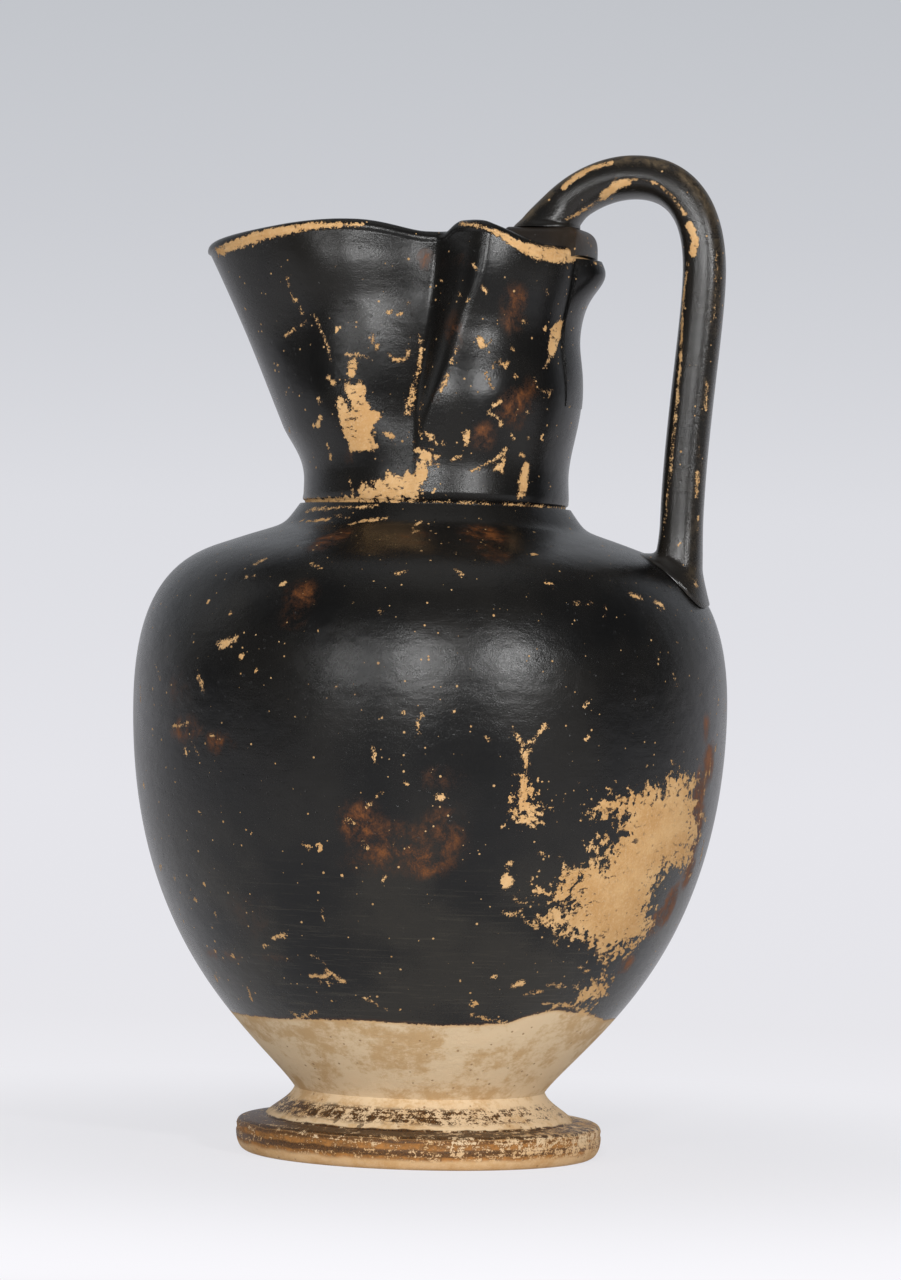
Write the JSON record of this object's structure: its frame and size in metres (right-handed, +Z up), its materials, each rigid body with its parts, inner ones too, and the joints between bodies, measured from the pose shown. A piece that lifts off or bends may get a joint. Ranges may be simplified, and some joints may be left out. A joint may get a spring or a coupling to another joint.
{
  "type": "trefoil-mouthed jug",
  "caption": "Wheel-thrown clay jug with an ovoid body, low flaring foot, pinched trefoil mouth with a long pouring lobe, and a high looped handle.",
  "frame": {"origin": "centre of the resting ring of the foot, on the surface the jug stands on", "axes": "+Z up along the axis the jug was thrown on, +X towards the handle, -X towards the pouring lobe"},
  "size_m": [0.1428, 0.1428, 0.2396],
  "materials": {
    "foot": "matt fired clay with worn dark bands",
    "body": "satin black gloss with chips showing clay",
    "neck_and_mouth": "satin black gloss with chips showing clay",
    "handle": "satin black gloss worn to brown on the outside",
    "handle_root_pad": "thin black-brown gloss",
    "rear_spur": "satin black gloss"
  },
  "bodies": {
    "root": {"foot": "foot", "body": "body", "neck_and_mouth": "neck_and_mouth", "handle": "handle", "handle_root_pad": "handle_root_pad", "rear_spur": "rear_spur"}
  },
  "joints": []
}
